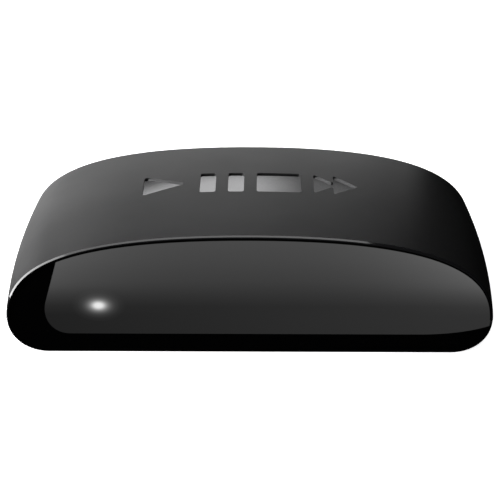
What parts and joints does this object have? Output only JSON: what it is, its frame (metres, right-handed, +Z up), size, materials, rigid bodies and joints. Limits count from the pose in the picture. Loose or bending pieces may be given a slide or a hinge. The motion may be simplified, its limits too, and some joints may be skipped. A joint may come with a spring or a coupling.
{
  "type": "streaming media player",
  "caption": "Palm-sized streaming player: arched matte cover over a gloss tray, gloss D-shaped front with a status light, video and power sockets and a reset button behind.",
  "frame": {"origin": "centre of the flat base", "axes": "+X to the right seen from the front, +Y to the rear, +Z up; the window faces -Y"},
  "size_m": [0.0862, 0.038, 0.0231],
  "materials": {
    "cover_plastic": "fine texture, satin",
    "gloss_black": "polished",
    "satin_black": "fine texture",
    "label_film": "matt film, blank",
    "adhesive_tape": "matt",
    "board_laminate": "solder mask over copper",
    "screw_steel": "nickel plated",
    "chip_resin": "moulded epoxy",
    "inductor_ferrite": "pressed ferrite",
    "ceramic_tan": "ceramic with tinned ends",
    "tinned_steel": "tinned",
    "thermal_silicone": "soft, matt",
    "spreader_aluminium": "mill finish",
    "clear_acrylic": "clear",
    "collar_foam": "closed-cell foam",
    "emitter_white": "white ceramic with clear resin",
    "receiver_resin": "infrared-passing resin",
    "insulator_black": "moulded",
    "contact_gold": "gold flash",
    "plunger_plastic": "moulded"
  },
  "bodies": {
    "casing": {"top_cover": "cover_plastic", "bottom_tray": "gloss_black", "front_window": "gloss_black", "window_tape": "adhesive_tape", "rear_panel": "satin_black", "bottom_label": "label_film", "main_board": "board_laminate", "board_screws": "screw_steel", "spreader_screws": "screw_steel", "system_chip": "chip_resin", "memory_chip": "chip_resin", "flash_chip": "chip_resin", "wireless_chip": "chip_resin", "power_chip": "chip_resin", "power_inductors": "inductor_ferrite", "bulk_capacitors": "ceramic_tan", "ceramic_capacitors": "ceramic_tan", "clock_crystal": "tinned_steel", "shield_frame": "tinned_steel", "shield_lid": "tinned_steel", "chip_pad": "thermal_silicone", "spreader_pad": "thermal_silicone", "heat_spreader": "spreader_aluminium", "antenna_left": "tinned_steel", "antenna_right": "tinned_steel", "status_led": "emitter_white", "light_pipe": "clear_acrylic", "light_collar": "collar_foam", "infrared_receiver": "receiver_resin", "hdmi_shell": "tinned_steel", "hdmi_tongue": "insulator_black", "hdmi_contacts": "contact_gold", "usb_shell": "tinned_steel", "usb_tongue": "insulator_black", "usb_contacts": "contact_gold", "switch_base": "insulator_black", "switch_cover": "tinned_steel"},
    "button": {"reset_button": "satin_black", "reset_plunger": "plunger_plastic"}
  },
  "joints": [
    {"name": "reset_press", "type": "slide", "parent": "casing", "child": "button", "axis": [0, -1, 0], "range_m": [0, 0.0003], "stiffness_N_per_m": 400, "springref_m": -0.002}
  ]
}
